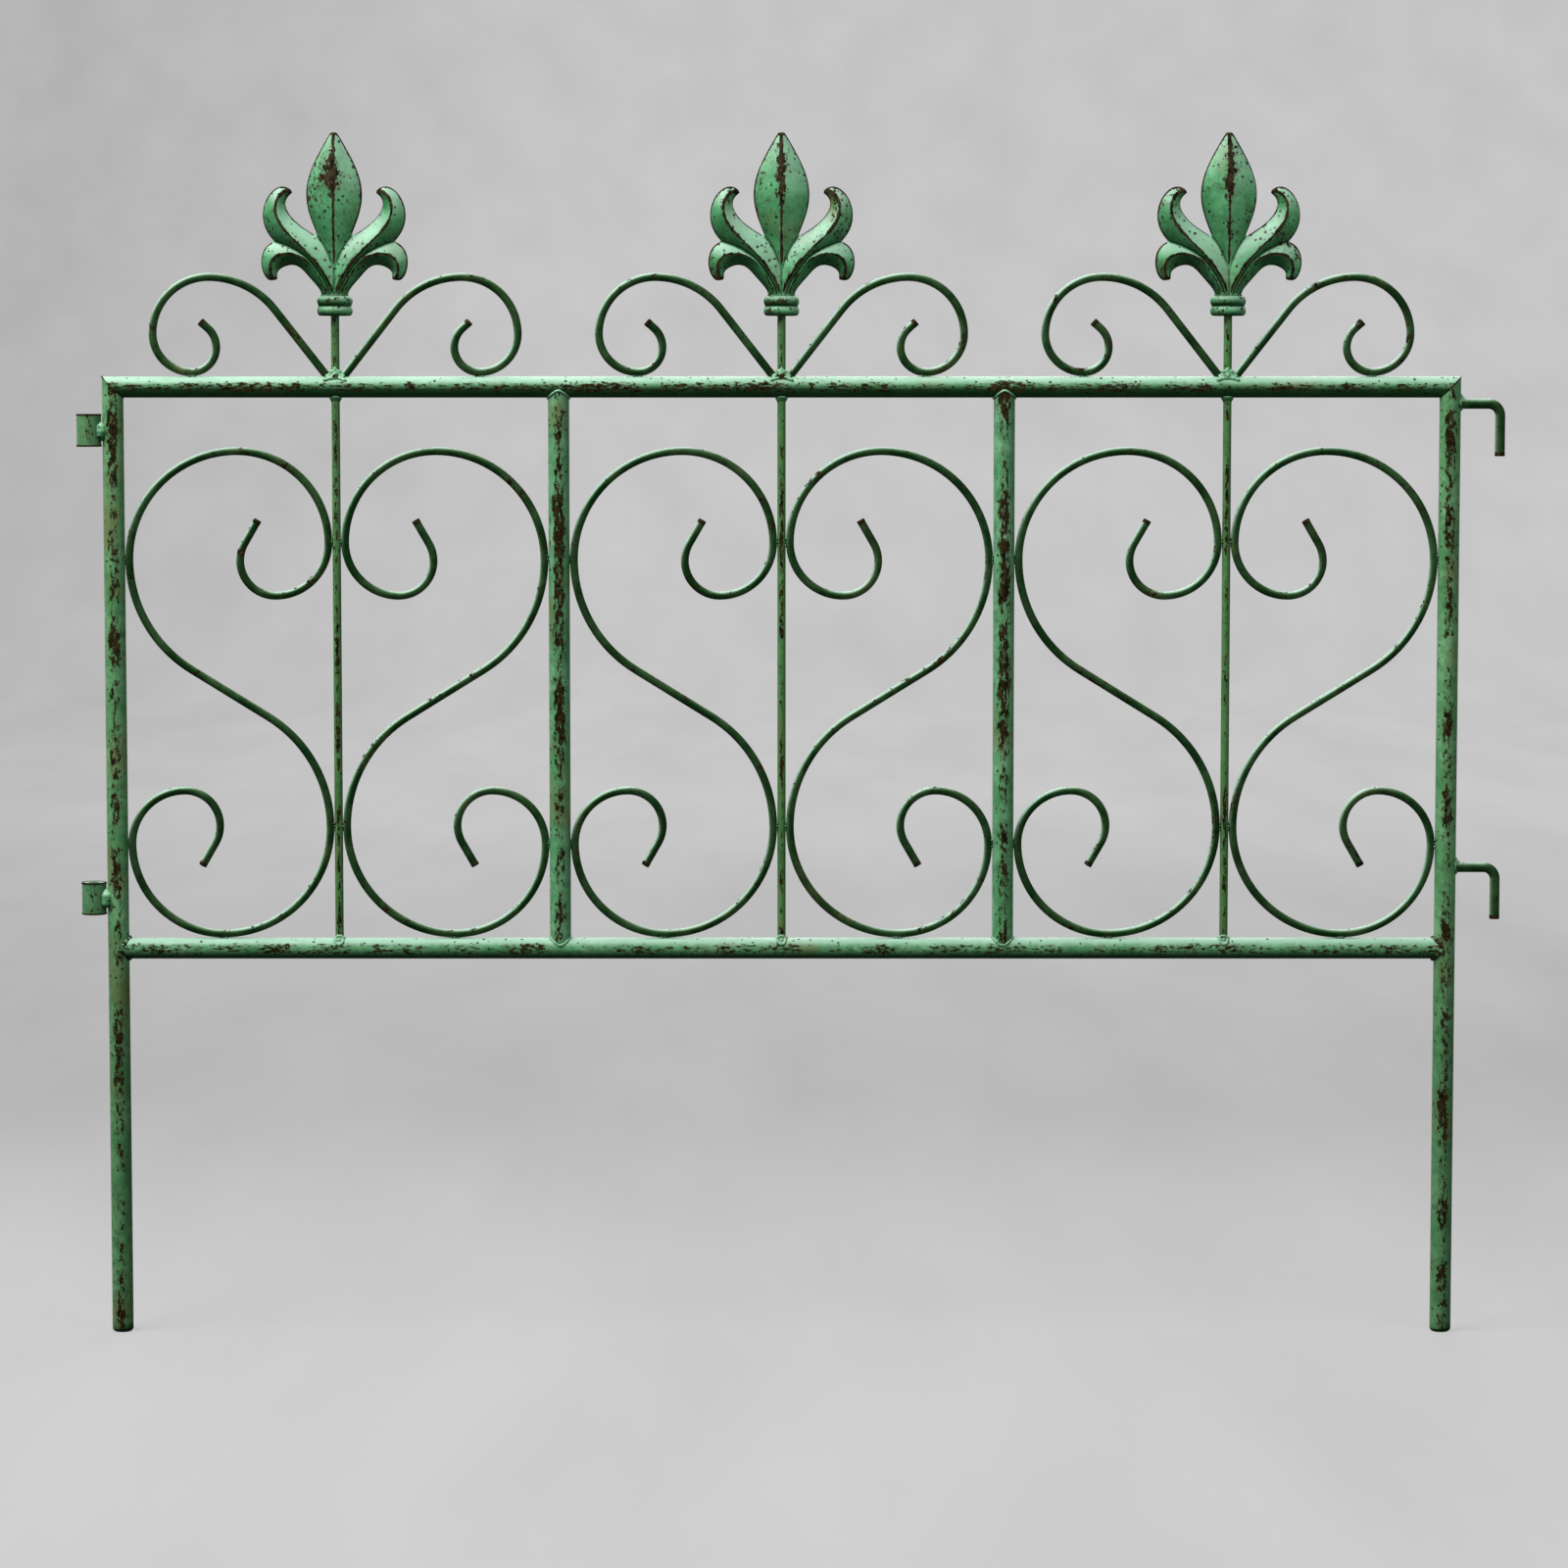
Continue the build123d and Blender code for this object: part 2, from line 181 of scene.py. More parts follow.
glow = add(tree, "ShaderNodeEmission", {"Color": glow, "Strength": 1.0})
shown = add(tree, "ShaderNodeBsdfDiffuse", {"Color": colour("#B8B7B7")})
shown = add(tree, "ShaderNodeMixShader", {0: GLOW_SHARE, 1: shown, 2: glow})
bounce = add(tree, "ShaderNodeBsdfDiffuse", {"Color": colour("#4A4A4A")})
paper = add(tree, "ShaderNodeMixShader", {0: seen, 1: bounce, 2: shown})
add(tree, "ShaderNodeOutputMaterial", {"Surface": paper})
studio_mesh.materials.append(sheet)
print("Studio sheet:", len(studio_mesh.polygons), "faces")

# %% [markdown]
# The main light is a large soft box in front, high on the left, so the left sides of the
# posts are lighter than the right. A second one overhead brightens the tops of the rails
# and wires and leaves their undersides dark. Weak ones on the right and behind keep the
# castings and the back readable, and a dim, even world fills the rest. Where a view looks
# past the sheet, the camera and reflections see the world as pale as the paper.

# %% Lights
SOFT_BOXES = {
    "key": (Vector((-800, -850, 2150)) * MM, 1400 * MM, 70.0),
    "overhead": (Vector((300, 300, 2700)) * MM, 1800 * MM, 22.0),
    "fill": (Vector((1500, -1500, 1200)) * MM, 1000 * MM, 14.0),
    "back": (Vector((600, 1900, 1500)) * MM, 1200 * MM, 14.0),
}
WORLD_STRENGTH = 0.13

aim = (cad_low + cad_high) / 2
for name, (place, size, watts) in SOFT_BOXES.items():
    lamp = bpy.data.objects.new(f"soft_box_{name}", bpy.data.lights.new(f"soft_box_{name}", "AREA"))
    lamp.data.shape = "SQUARE"
    lamp.data.size = size
    lamp.data.energy = watts
    lamp.location = place
    lamp.rotation_euler = (aim - place).to_track_quat("-Z", "Y").to_euler()
    bpy.context.collection.objects.link(lamp)

world = bpy.data.worlds.new("studio_air")
world.use_nodes = True
tree = world.node_tree
tree.nodes.clear()
ray = add(tree, "ShaderNodeLightPath").outputs
seen = add(tree, "ShaderNodeMath", {0: ray["Is Camera Ray"], 1: ray["Is Glossy Ray"]}, operation="ADD")
seen = add(tree, "ShaderNodeMath", {0: seen, 1: ray["Is Transmission Ray"]}, operation="ADD")
air = add(tree, "ShaderNodeBackground", {"Color": colour("#E6E8EA"), "Strength": WORLD_STRENGTH})
pale = add(tree, "ShaderNodeBackground", {"Color": colour("#C2C1C1"), "Strength": 1.0})
air = add(tree, "ShaderNodeMixShader", {0: seen, 1: air, 2: pale})
add(tree, "ShaderNodeOutputWorld", {"Surface": air})
bpy.context.scene.world = world
bpy.context.scene.view_settings.view_transform = "Standard"
print("Soft boxes:", list(SOFT_BOXES))

# %% [markdown]
# The finish is old brush enamel on mild steel. Three things give it its look. The paint
# itself drifts between mint, deeper green and a yellow-green stain. It has chipped down
# to brown primer and rust, mostly along the front of each tube, in flakes that are long
# along the tube. And it is peppered with small dark specks. Light and shade are painted
# into the colour as well: a pale painted highlight on the sides that face the light, and
# painted shade on the sides that face away, darkest on the wires. One function lays
# these down, so that tubes, rods, wires and castings share a finish and differ only in their amounts.
# Where the wear comes from the surface's direction it reads the normal, which stays with
# the piece, and on the castings it reads an attribute that marks the ridges.

# %% Aged enamel
MINT = colour("#74B082")
LEAF_GREEN = colour("#489059")
DEEP_GREEN = colour("#286336")
BOTTLE_GREEN = colour("#0C2A10")
# The pale mint of the painted highlight, laid on the sides that face the light
HIGHLIGHT_MINT = colour("#A2C6B0")
OLIVE = colour("#667240")
PRIMER = colour("#131107")
RUST = colour("#312812")
WORN_STEEL = colour("#4E4932")
RUST_STAIN = colour("#524A2C")
ENAMELS = (MINT, LEAF_GREEN, DEEP_GREEN)
# The side that the painted highlight faces, the tilts over which that highlight comes in, and the span of
# tilt over which painted shade deepens
LIT_SIDE = (-0.22, 0.0, 0.975)
HIGHLIGHT_TILTS = (0.15, 0.80)
SHADE_REACH = 0.60
# The colour darkens over the last few millimetres of each foot and a little over the lower legs
FOOT_DARK_HEIGHT = 7 * MM
LEG_TOP = 250 * MM
LEG_DARKENING = 0.20


def aged_enamel(
    name, flake_mm, worn_by, bias,
    paints=ENAMELS, lit_from=LIT_SIDE, shading=(0.10, 0.92), highlight=(*HIGHLIGHT_TILTS, 0.82), rust=RUST,
    patchy=0.0, specks=(3.4, 0.30),
):
    """Brush enamel that has chipped, with light and shade painted into its colour. flake_mm is a
    flake's size along X, Y and Z, worn_by says what wears it, its facing or an attribute, and bias is
    how ready the paint is to flake. lit_from points to the side that the painted highlight faces,
    shading is the tilt from it at which painted shade starts and how dark it gets, highlight is the
    tilts between which the painted highlight comes in and how strong it gets, and rust is the chips'
    colour. Patchy is how far the painted shade is broken up in places, and specks are the
    dark specks' spacing in mm and the share of it that the largest one fills."""
    material = bpy.data.materials.new(name)
    material.use_nodes = True
    tree = material.node_tree
    tree.nodes.clear()
    place = add(tree, "ShaderNodeTexCoord").outputs["Object"]

    # Every layer of the finish starts from a noise of its own size, in mm, and fineness
    layers = {
        "flakes": (flake_mm, 4.0),
        "ragged": ((0.8, 0.8, 0.8), 3.0),
        "spread": ((24, 24, 24), 2.0),
        "drift": ((26, 26, 26), 3.0),
        "mottle": ((5, 5, 5), 5.0),
        "stain": ((30, 30, 44), 2.0),
        "rust": ((3, 3, 5), 4.0),
        "rubbed": ((1.6, 1.6, 1.6), 3.0),
        "brush": ([size * 0.35 for size in flake_mm], 2.0),
    }
    for number, (layer, (sizes, detail)) in enumerate(layers.items()):
        scale = [1 / (size * MM) for size in sizes]
        apart = [3.7 * number] * 3
        mapped = add(tree, "ShaderNodeMapping", {"Vector": place, "Location": apart, "Scale": scale})
        grain = {"Vector": mapped, "Scale": 1.0, "Detail": detail, "Roughness": 0.58}
        layers[layer] = add(tree, "ShaderNodeTexNoise", grain)

    # Where the paint has gone: flakes with ragged edges, in some places more, and on the worn side
    level = layers["flakes"]
    for layer, share in (("ragged", 0.32), ("spread", 0.70)):
        shares = {0: layers[layer], 1: share, 2: level}
        level = add(tree, "ShaderNodeMath", shares, operation="MULTIPLY_ADD")
    normal = add(tree, "ShaderNodeNewGeometry").outputs["Normal"]
    facing = add(tree, "ShaderNodeSeparateXYZ", {0: normal}).outputs
    if worn_by == "facing":
        worn = add(tree, "ShaderNodeMath", {0: facing["Y"]}, operation="ABSOLUTE")
        worn = add(tree, "ShaderNodeMapRange", {0: worn, 1: 0.76, 2: 0.97, 3: -0.20, 4: 0.05})
    else:
        worn = add(tree, "ShaderNodeAttribute", attribute_name=worn_by)
        worn = add(tree, "ShaderNodeMath", {0: worn.outputs["Fac"], 1: 0.55}, operation="MULTIPLY")
    level = add(tree, "ShaderNodeMath", {0: level, 1: worn}, operation="ADD")
    edge = 1.11 - bias
    bare = add(tree, "ShaderNodeMapRange", {0: level, 1: edge - 0.012, 2: edge + 0.018})
    rim = add(tree, "ShaderNodeMapRange", {0: level, 1: edge - 0.045, 2: edge - 0.005, 4: 0.55})

    # The paint drifts from mint to green and is stained olive in places
    drift = add(tree, "ShaderNodeMapRange", {0: layers["drift"], 1: 0.35, 2: 0.65})
    paint = {"Factor": drift, "A": paints[0], "B": paints[1]}
    paint = add(tree, "ShaderNodeMix", paint, data_type="RGBA")
    mottle = add(tree, "ShaderNodeMapRange", {0: layers["mottle"], 1: 0.42, 2: 0.68, 4: 0.70})
    paint = add(tree, "ShaderNodeMix", {"Factor": mottle, "A": paint, "B": paints[2]}, data_type="RGBA")
    stain = add(tree, "ShaderNodeMapRange", {0: layers["stain"], 1: 0.58, 2: 0.70, 4: 0.70})
    paint = add(tree, "ShaderNodeMix", {"Factor": stain, "A": paint, "B": OLIVE}, data_type="RGBA")

    # Rust has bled into it around the chips
    bleed = add(tree, "ShaderNodeMapRange", {0: level, 1: edge - 0.14, 2: edge, 4: 0.42})
    paint = add(tree, "ShaderNodeMix", {"Factor": bleed, "A": paint, "B": RUST_STAIN}, data_type="RGBA")

    # It gets a painted highlight on the lit side and painted shade on the sides facing away and in
    # hollows, and it darkens towards the legs and feet
    tilt = add(tree, "ShaderNodeVectorMath", {0: normal, 1: lit_from}, operation="DOT_PRODUCT")
    tilt = tilt.outputs["Value"]
    painted_highlight = add(tree, "ShaderNodeMapRange", {0: tilt, 1: highlight[0], 2: highlight[1], 4: highlight[2]})
    paint = add(tree, "ShaderNodeMix", {"Factor": painted_highlight, "A": paint, "B": HIGHLIGHT_MINT}, data_type="RGBA")
    painted_shade = add(tree, "ShaderNodeMapRange", {0: tilt, 1: shading[0], 2: shading[0] - SHADE_REACH, 4: shading[1]})
    kept = {0: layers["drift"], 1: 0.42, 2: 0.62, 3: 1.0, 4: 1.0 - patchy}
    kept = add(tree, "ShaderNodeMapRange", kept)
    painted_shade = add(tree, "ShaderNodeMath", {0: painted_shade, 1: kept}, operation="MULTIPLY")
    hollow = add(tree, "ShaderNodeAttribute", attribute_name="hollow").outputs["Fac"]
    shade_and_low_darkening = add(tree, "ShaderNodeMath", {0: hollow, 1: 0.75, 2: painted_shade}, operation="MULTIPLY_ADD")
    height = add(tree, "ShaderNodeSeparateXYZ", {0: place}).outputs["Z"]
    foot = add(tree, "ShaderNodeMapRange", {0: height, 2: FOOT_DARK_HEIGHT, 3: 0.6, 4: 0.0})
    leg = add(tree, "ShaderNodeMapRange", {0: height, 1: LEG_TOP * 0.8, 2: LEG_TOP, 3: LEG_DARKENING, 4: 0.0})
    foot = add(tree, "ShaderNodeMath", {0: foot, 1: leg}, operation="ADD")
    shade_and_low_darkening = add(tree, "ShaderNodeMath", {0: shade_and_low_darkening, 1: foot}, operation="ADD", use_clamp=True)
    paint = add(tree, "ShaderNodeMix", {"Factor": shade_and_low_darkening, "A": paint, "B": BOTTLE_GREEN}, data_type="RGBA")

    # Small dark specks pepper it, and each chip has a dark rim
    stray = {0: layers["rubbed"].outputs["Color"], 1: [MM] * 3}
    stray = add(tree, "ShaderNodeVectorMath", stray, operation="MULTIPLY")
    stray = add(tree, "ShaderNodeVectorMath", {0: place, 1: stray}, operation="ADD")
    cells = add(tree, "ShaderNodeTexVoronoi", {"Vector": stray, "Scale": 1 / (specks[0] * MM)})
    reach = add(tree, "ShaderNodeSeparateColor", {0: cells.outputs["Color"]})
    reach = add(tree, "ShaderNodeMapRange", {0: reach, 1: 0.35, 2: 1.0, 4: specks[1]})
    speck = add(tree, "ShaderNodeMath", {0: cells, 1: reach}, operation="LESS_THAN")
    speck = add(tree, "ShaderNodeMath", {0: speck, 1: rim}, operation="MAXIMUM")
    paint = add(tree, "ShaderNodeMix", {"Factor": speck, "A": paint, "B": BOTTLE_GREEN}, data_type="RGBA")

    # Under the paint are primer, rust and rubbed steel
    rusty = add(tree, "ShaderNodeMapRange", {0: layers["rust"], 1: 0.40, 2: 0.60})
    metal = add(tree, "ShaderNodeMix", {"Factor": rusty, "A": PRIMER, "B": rust}, data_type="RGBA")
    rubbed = add(tree, "ShaderNodeMapRange", {0: layers["rubbed"], 1: 0.58, 2: 0.70})
    metal = add(tree, "ShaderNodeMix", {"Factor": rubbed, "A": metal, "B": WORN_STEEL}, data_type="RGBA")

    # Brush marks and the edges of flakes stand a tenth of a millimetre or so proud
    height = add(tree, "ShaderNodeMath", {0: bare, 1: -1.8, 2: layers["brush"]}, operation="MULTIPLY_ADD")
    bump = add(tree, "ShaderNodeBump", {"Height": height, "Strength": 0.15, "Distance": 0.12 * MM})
    dull = add(tree, "ShaderNodeMath", {0: bare, 1: shade_and_low_darkening}, operation="MAXIMUM")
    skin = add(tree, "ShaderNodeMix", {"Factor": bare, "A": paint, "B": metal}, data_type="RGBA")
    looks = {
        "Base Color": skin,
        "Roughness": add(tree, "ShaderNodeMapRange", {0: dull, 3: 0.42, 4: 0.80}),
        "Specular IOR Level": add(tree, "ShaderNodeMapRange", {0: dull, 3: 0.40, 4: 0.03}),
        "Normal": bump,
    }
    shader = add(tree, "ShaderNodeBsdfPrincipled", looks)
    add(tree, "ShaderNodeOutputMaterial", {"Surface": shader})
    return material


TUBE_PAINTS = (colour("#74AC78"), colour("#4A8B52"), DEEP_GREEN)
upright_tube = aged_enamel("brush_enamel_upright_tube", (1.8, 1.8, 3.8), "facing", 0.04, TUBE_PAINTS)
stile_tube = aged_enamel("brush_enamel_stile_tube", (2.0, 2.0, 5.0), "facing", 0.05)
# The top rail takes painted shade further up its front than the bottom rail
top_tube = aged_enamel("brush_enamel_top_tube", (4.0, 1.5, 1.5), "facing", 0.02, shading=(0.42, 0.92))
low_tube = aged_enamel("brush_enamel_low_tube", (4.0, 1.5, 1.5), "facing", -0.03, shading=(0.02, 0.82))
SLEEVE_PAINTS = (colour("#5C9263"), colour("#3C7446"), DEEP_GREEN)
# Sleeves and rods take a fainter painted highlight
sleeve_wear = {"paints": SLEEVE_PAINTS, "highlight": (*HIGHLIGHT_TILTS, 0.5)}
sleeve = aged_enamel("brush_enamel_sleeve", (1.4, 1.4, 3.4), "facing", -0.05, **sleeve_wear)
ROD_PAINTS = (colour("#4F8448"), colour("#3C6C2E"), DEEP_GREEN)
rod_wear = {"paints": ROD_PAINTS, "highlight": (*HIGHLIGHT_TILTS, 0.4)}
thin_rod = aged_enamel("brush_enamel_rod", (1.5, 1.5, 4.2), "facing", 0.02, **rod_wear)
# The wires' greens are darker than the tubes': painted shade for thin wire whose front sits mostly in
# shade. Their painted highlight faces the upper left, and their painted shade starts high and is nearly
# black
WIRE_PAINTS_WITH_SHADE = (colour("#4A7A40"), colour("#335A2A"), colour("#12260A"))
wire_wear = {"paints": WIRE_PAINTS_WITH_SHADE, "lit_from": (-0.60, 0.0, 0.80), "shading": (0.70, 0.97)}
wire_wear.update({"highlight": (0.35, 0.80, 0.95), "patchy": 0.35})
bent_wire = aged_enamel("brush_enamel_wire", (5.0, 3.0, 5.0), "unworn", -0.08, **wire_wear)
tubes = (upright_tube, stile_tube, top_tube, low_tube, sleeve)
print("Materials:", [m.name for m in (*tubes, thin_rod, bent_wire)])

# %% [markdown]
# The tubes, rods and wires keep the shapes that the frame gives them, since round stock
# bent in a jig is as plain as its drawing. They only take the finish.

# %% Paint the frame's own pieces
finishes = {"top_rail": top_tube, "bottom_rail": low_tube, "stile": stile_tube}
finishes.update({"upper_socket": sleeve, "lower_socket": sleeve})
finishes.update({"centre_rod": thin_rod, "finial_stem": thin_rod})
finishes.update({"scroll": bent_wire, "crest": bent_wire})
finishes.update({"upper_hook": bent_wire, "lower_hook": bent_wire})
for name, node in nodes.items():
    finish = next((m for start, m in finishes.items() if name.startswith(start)), upright_tube)
    node.data.materials.clear()
    node.data.materials.append(finish)
print("Painted", len(nodes), "pieces")

# %% [markdown]
# A casting from a sand mould has no knife edges: every ridge is a little round, and brush
# paint rounds it further. A copy of the drawn casting is merged, remeshed in small cubes
# and smoothed, which rounds the ridges and fills the sharp creases between the leaves.
# Two attributes follow from the new shape: where it bulges, paint rubs off first, and
# where it is hollow, painted shade darkens it.


# %% Helpers for remeshing
def piece_from(name, bm, material):
    """Makes an object from a bmesh, puts it on the panel and gives it its finish."""
    mesh = bpy.data.meshes.new(name)
    bm.to_mesh(mesh)
    bm.free()
    mesh.shade_smooth()
    mesh.materials.append(material)
    piece = bpy.data.objects.new(name, mesh)
    bpy.context.collection.objects.link(piece)
    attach(piece, "root")
    return piece


def melted(bm, voxel, rounds):
    """The shape of bm as one skin of even little quads, smoothed as many times as rounds says."""
    mesh = bpy.data.meshes.new("melting")
    bm.to_mesh(mesh)
    bm.free()
    lump = bpy.data.objects.new("melting", mesh)
    bpy.context.collection.objects.link(lump)
    remesh = lump.modifiers.new("skin", "REMESH")
    remesh.mode = "VOXEL"
    remesh.voxel_size = voxel
    skin = bpy.data.meshes.new_from_object(lump.evaluated_get(bpy.context.evaluated_depsgraph_get()))
    bpy.data.objects.remove(lump)
    bpy.data.meshes.remove(mesh)
    out = bmesh.new()
    out.from_mesh(skin)
    bpy.data.meshes.remove(skin)
    axes = {"use_axis_x": True, "use_axis_y": True, "use_axis_z": True}
    for _ in range(rounds):
        bmesh.ops.smooth_vert(out, verts=out.verts[:], factor=0.5, **axes)
    return out


def mark_bulges(mesh, spread, gain):
    """Stores how far each point bulges out, as 'ridge', and sinks in, as 'hollow'. Gives the points."""
    count = len(mesh.vertices)
    place = np.empty(count * 3)
    mesh.vertices.foreach_get("co", place)
    place = place.reshape(-1, 3)
    normal = np.empty(count * 3)
    mesh.vertices.foreach_get("normal", normal)
    normal = normal.reshape(-1, 3)
    ends = np.empty(len(mesh.edges) * 2, dtype=np.int64)
    mesh.edges.foreach_get("vertices", ends)
    a, b = ends.reshape(-1, 2).T
    share = np.bincount(a, minlength=count) + np.bincount(b, minlength=count)

    def around(values):
        total = np.zeros_like(values)
        np.add.at(total, a, values[b])
        np.add.at(total, b, values[a])
        return total / (share[:, None] if values.ndim > 1 else share)

    bulge = ((place - around(place)) * normal).sum(axis=1)
    for _ in range(spread):
        bulge = 0.5 * bulge + 0.5 * around(bulge)
    scale = np.percentile(np.abs(bulge), 97)
    for name, values in (("ridge", bulge), ("hollow", -bulge)):
        layer = mesh.attributes.new(name, "FLOAT", "POINT")
        layer.data.foreach_set("value", np.clip(values / scale * gain - 0.4, 0, 1).astype(np.float32))
    return place


def mark_patch(piece, layer, x, z, half_width, half_height, amount):
    """Adds to a layer of a piece around a spot, front and back, given by its x and z in mm."""
    place = np.empty(len(piece.data.vertices) * 3)
    piece.data.vertices.foreach_get("co", place)
    place = place.reshape(-1, 3) / MM
    marks = np.empty(len(place))
    layer = piece.data.attributes[layer].data
    layer.foreach_get("value", marks)
    across = (place[:, 0] - x) / half_width
    above = (place[:, 2] - z) / half_height
    marks += amount * np.exp(-(across**2) - above**2)
    layer.foreach_set("value", np.clip(marks, 0, 1).astype(np.float32))


print("Remesh helpers ready")

# %% [markdown]
# On a fleur-de-lis the ridge of each petal and leaf stands proud, so that is where the
# paint has worn through, and painted shade darkens the creases and the casting around the collar.
# The marks on the remeshed casting give the first kind of wear. The bald patch on each
# spear is no edge: something rubbed there. It is marked one by one, in a place of its own on
# each casting, and a smaller one sits on the collar, whose rings have otherwise kept
# their paint.

# %% Cast finials
CASTING_VOXEL = 0.55 * MM
CASTING_ROUNDS = 5
RIDGE_SPREAD = 2
RIDGE_GAIN = 2.0
COLLAR_TOP = 625.6 * MM
COLLAR_WEAR = 0.12
# Each spear's bald patch: how far aside, its height, its half height and its strength
SPEAR_PATCHES = {1: (-0.8, 697.0, 15.0, 0.62), 2: (0.0, 695.0, 15.0, 0.86), 3: (0.5, 698.0, 17.0, 0.84)}
SPEAR_PATCH_HALF_WIDTH = 3.4
COLLAR_MIDDLE = 623.0
COLLAR_PATCH = {"half_width": 3.5, "half_height": 1.6, "amount": 0.32}
# A soft patch of painted shade around the collar, added to the hollows
COLLAR_SHADE = {"half_width": 14.0, "half_height": 6.0, "amount": 0.42}

CASTING_PAINTS = (colour("#5CA872"), colour("#36884E"), colour("#226034"))
CASTING_RUST = colour("#3A3022")

# The castings' painted highlight faces nearly straight up, and painted shade darkens their lower faces
cast_wear = {"paints": CASTING_PAINTS, "rust": CASTING_RUST, "lit_from": (0.15, 0.0, 0.99)}
cast_wear.update({"shading": (0.08, 0.84), "highlight": (0.05, 0.50, 0.62), "specks": (2.8, 0.40)})
casting_enamel = aged_enamel("brush_enamel_casting", (2.2, 2.2, 3.2), "ridge", -0.09, **cast_wear)
for number in (1, 2, 3):
    drawn = nodes[f"finial_{number}"]
    bm = bmesh.new()
    bm.from_mesh(drawn.data)
    bmesh.ops.remove_doubles(bm, verts=bm.verts[:], dist=0.002 * MM)
    middle = sum((v.co for v in bm.verts), Vector()).x / len(bm.verts)
    bm = melted(bm, CASTING_VOXEL, CASTING_ROUNDS)
    casting = piece_from(f"fleur_casting_{number}", bm, casting_enamel)
    place = mark_bulges(casting.data, RIDGE_SPREAD, RIDGE_GAIN)
    ridge = np.empty(len(place))
    casting.data.attributes["ridge"].data.foreach_get("value", ridge)
    ridge[place[:, 2] < COLLAR_TOP] *= COLLAR_WEAR
    casting.data.attributes["ridge"].data.foreach_set("value", ridge.astype(np.float32))
    aside, height, reach, amount = SPEAR_PATCHES[number]
    mark_patch(casting, "ridge", middle / MM + aside, height, SPEAR_PATCH_HALF_WIDTH, reach, amount)
    mark_patch(casting, "ridge", middle / MM, COLLAR_MIDDLE, **COLLAR_PATCH)
    mark_patch(casting, "hollow", middle / MM, COLLAR_MIDDLE, **COLLAR_SHADE)
    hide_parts(f"finial_{number}")
    print(casting.name, len(casting.data.polygons), "faces")

# %% [markdown]
# The panel is held together by welds, and every bead shows under the paint. A welder
# leaves metal in drops, each frozen against the last, so a bead is built here as a row of
# little balls along the seam, none quite alike, which are then melted into one skin. The
# seam of a bar that meets a tube is a saddle curve: around the bar, the tube's surface
# rises and falls.

# %% Where things meet
TUBE = 6.35
ROD = 2.5
HOOK = 3.0
POSTS = (0.0, 800.0)
STILES = (800 / 3, 1600 / 3)
RODS = (400 / 3, 400.0, 2000 / 3)
BOTTOM_RAIL = 234.0
TOP_RAIL = 571.6
HOOK_HEIGHTS = (561.6, 283.1)
SOCKET_HEIGHTS = (545.8, 264.4)
WELD_VOXEL = 0.45 * MM
dice = random.Random(11)


def turn(count):
    """Even angles, in radians, once round."""
    return [math.radians(360 * step / count) for step in range(count)]


def saddle(bar, tube, count, fill=0.0):
    """The seam of a bar along Z on a tube along X, about the tube's axis. Fill rounds its tips."""
    seam = []
    for angle in turn(count):
        x, y = bar * math.cos(angle), bar * math.sin(angle)
        seam.append(Vector((x, y, math.sqrt(max(tube**2 - y**2, 0) + fill**2))))
    return seam


def drops(bm, points, radius, rough):
    """Drops a ball of weld metal at each point, in mm, none quite alike."""
    for point in points:
        size = radius * dice.uniform(1 - rough, 1 + rough)
        stray = Vector([dice.uniform(-rough, rough) for axis in range(3)]) * radius * 0.5
        spot = Matrix.Translation((Vector(point) + stray) * MM)
        bmesh.ops.create_icosphere(bm, subdivisions=2, radius=size * MM, matrix=spot)


def on_rail(x, rail, height, least):
    """A spot on the front of a rail at a height, or this least distance in front of its middle."""
    return Vector((x, -max(math.sqrt(max(TUBE**2 - (height - rail) ** 2, 0)), least), height))


def weld(name, bm, material, rounds=3, gain=1.4):
    """Melts the drops into beads and puts them on the panel."""
    bead = piece_from(name, melted(bm, WELD_VOXEL, rounds), material)
    # Ridges mark where the paint wears, and the hollows between drops take painted shade
    mark_bulges(bead.data, 2, gain)
    print(bead.name, len(bead.data.polygons), "faces")
    return bead


# Weld beads take a painted highlight on top and painted shade below
bead_wear = {"shading": (0.10, 0.70), "highlight": (*HIGHLIGHT_TILTS, 0.6)}
weld_enamel = aged_enamel("brush_enamel_weld", (1.4, 1.4, 1.4), "unworn", -0.15, **bead_wear)
rough_weld = aged_enamel("brush_enamel_rough_weld", (1.6, 1.6, 1.6), "ridge", -0.09, **bead_wear)
stem_weld = aged_enamel("brush_enamel_stem_weld", (1.6, 1.6, 1.6), "ridge", -0.20, **bead_wear)
mitre_weld = aged_enamel("brush_enamel_mitre_weld", (1.6, 1.6, 1.6), "ridge", 0.10, **bead_wear)
seam = saddle(TUBE, TUBE, 44, fill=2.2)
print("A stile's seam rises", round(max(p.z for p in seam) - min(p.z for p in seam), 2), "mm")

# %% [markdown]
# The tubes of the frame are coped, or cut to fit around one another, and welded all round.
# The stiles' seams are neat. The bottom rail's are rough and lumpy, and rust has broken
# through them. At the top corners the tubes are mitred, so the seam is a slanting oval,
# ground nearly flush, with one blob left inside the left corner.

# %% Welds on the frame
LEFT_BLOBS = ((2.6, -5.2, 569.2), (4.0, -4.6, 568.2), (3.2, 5.0, 568.8))

bm = bmesh.new()
for x in STILES:
    drops(bm, [Vector((x + p.x, p.y, TOP_RAIL - p.z)) for p in seam], radius=1.0, rough=0.08)
    drops(bm, [Vector((x + p.x, p.y, BOTTOM_RAIL + p.z)) for p in seam], radius=0.85, rough=0.20)
weld("stile_welds", bm, weld_enamel)

